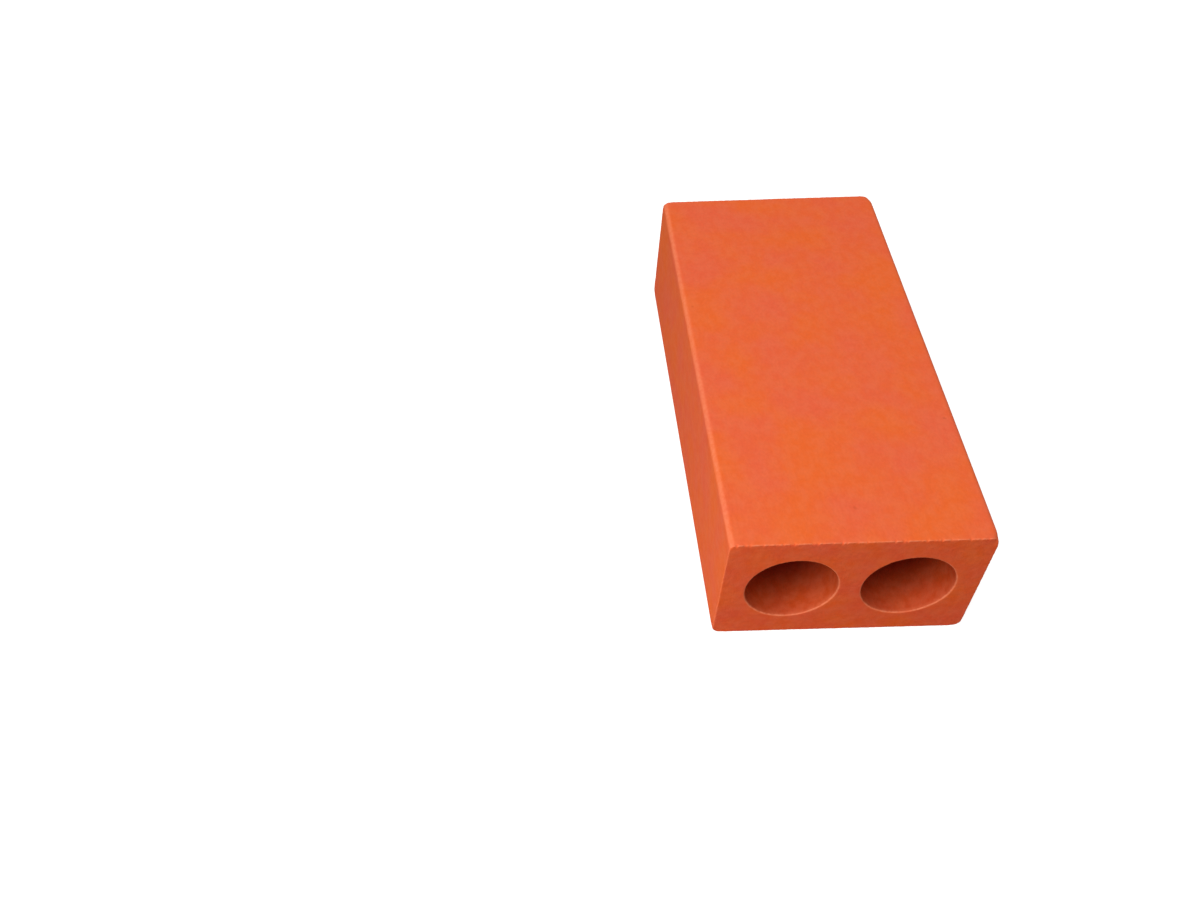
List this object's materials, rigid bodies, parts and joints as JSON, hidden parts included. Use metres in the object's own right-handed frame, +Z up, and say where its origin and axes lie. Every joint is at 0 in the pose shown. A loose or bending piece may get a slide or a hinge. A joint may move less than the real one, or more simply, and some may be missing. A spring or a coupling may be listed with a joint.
{
  "type": "clay brick",
  "caption": "Rectangular fired clay brick with rounded long edges and round cores running through its length, for masonry walls.",
  "frame": {"origin": "middle of the lower bed face", "axes": "+X across the width, +Y along the length and the cores, +Z up through the height"},
  "size_m": [0.105, 0.22, 0.06],
  "materials": {
    "fired_clay": "matt orange-red fired clay"
  },
  "bodies": {
    "root": {"brick_body": "fired_clay"}
  },
  "joints": []
}
